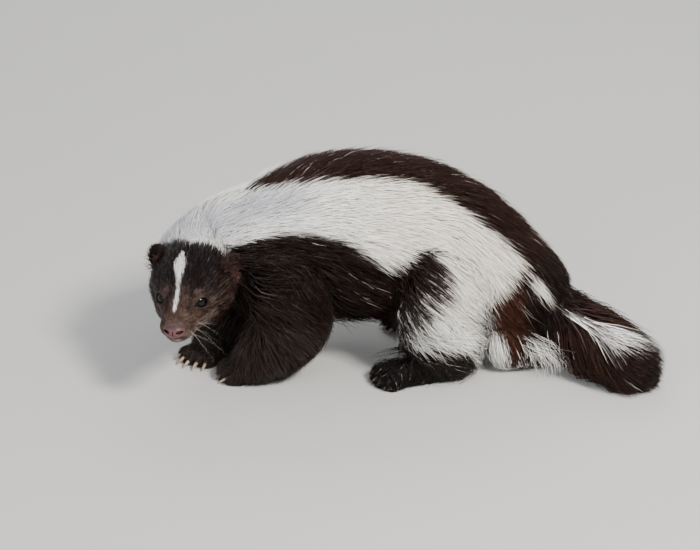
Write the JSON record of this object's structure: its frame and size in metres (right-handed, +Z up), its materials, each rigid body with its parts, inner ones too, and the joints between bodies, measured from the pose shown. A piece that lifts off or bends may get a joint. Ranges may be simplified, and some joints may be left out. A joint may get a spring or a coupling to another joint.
{
  "type": "striped skunk",
  "caption": "Life-size museum model of a walking striped skunk with an arched back, a head turned to its left and a bushy tail that curls along the floor.",
  "frame": {"origin": "on the floor, under the middle of the whole animal's box", "axes": "+X from the shoulders to the tail, -Y to the animal's left, +Z up"},
  "size_m": [0.3568, 0.1784, 0.1482],
  "materials": {
    "head_fur": "short dark brown fur",
    "body_fur": "long black and white fur",
    "leg_fur": "black fur",
    "ear_skin": "reddish brown skin",
    "eye": "wet gloss",
    "nose_skin": "moist pink skin"
  },
  "bodies": {
    "root": {"head": "head_fur", "neck": "body_fur", "torso": "body_fur", "tail": "body_fur", "foreleg_left": "leg_fur", "foreleg_right": "leg_fur", "hindleg_left": "leg_fur", "hindleg_right": "leg_fur", "hindfoot_left": "leg_fur", "hindfoot_right": "leg_fur", "ear_left": "ear_skin", "ear_right": "ear_skin", "eye_left": "eye", "eye_right": "eye", "nose": "nose_skin"}
  },
  "joints": []
}
